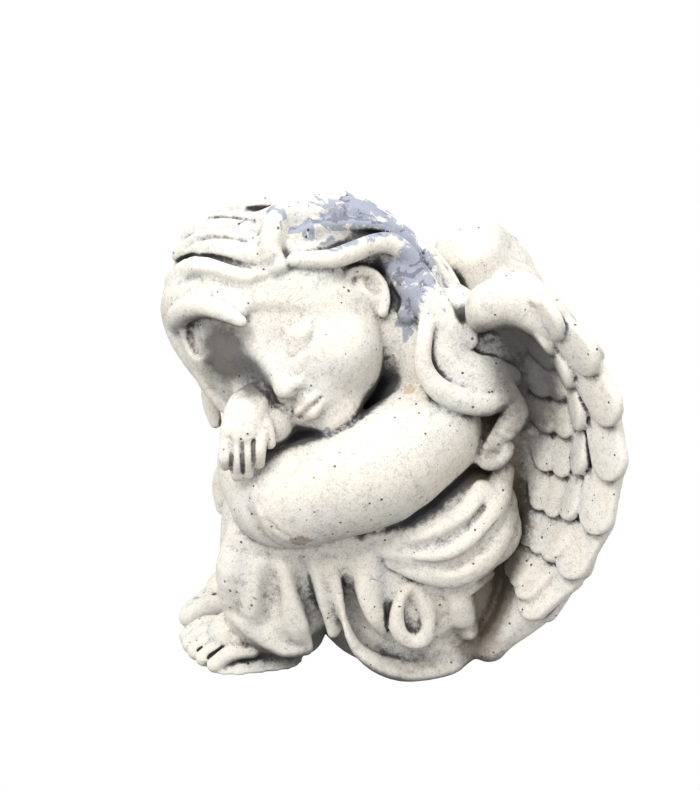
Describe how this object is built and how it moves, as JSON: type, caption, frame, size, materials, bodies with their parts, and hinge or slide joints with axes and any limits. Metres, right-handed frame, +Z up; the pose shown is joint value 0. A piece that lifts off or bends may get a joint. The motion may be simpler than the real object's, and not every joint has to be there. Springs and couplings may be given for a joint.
{
  "type": "cemetery angel statue",
  "caption": "Seated child angel asleep on folded arms, with folded wings, cast in one piece of concrete; stands on its own flat underside as a grave or garden ornament.",
  "frame": {"origin": "middle of the flat underside's bounding box, on the ground", "axes": "+Z up; the figure faces -Y; its own left side is +X"},
  "size_m": [0.2058, 0.2228, 0.2501],
  "materials": {
    "cast_concrete": "matt cast concrete, pale warm grey, weathered, with pinholes, blue-grey patina and dark dirt in the hollows"
  },
  "bodies": {
    "root": {"angel_statue": "cast_concrete"}
  },
  "joints": []
}
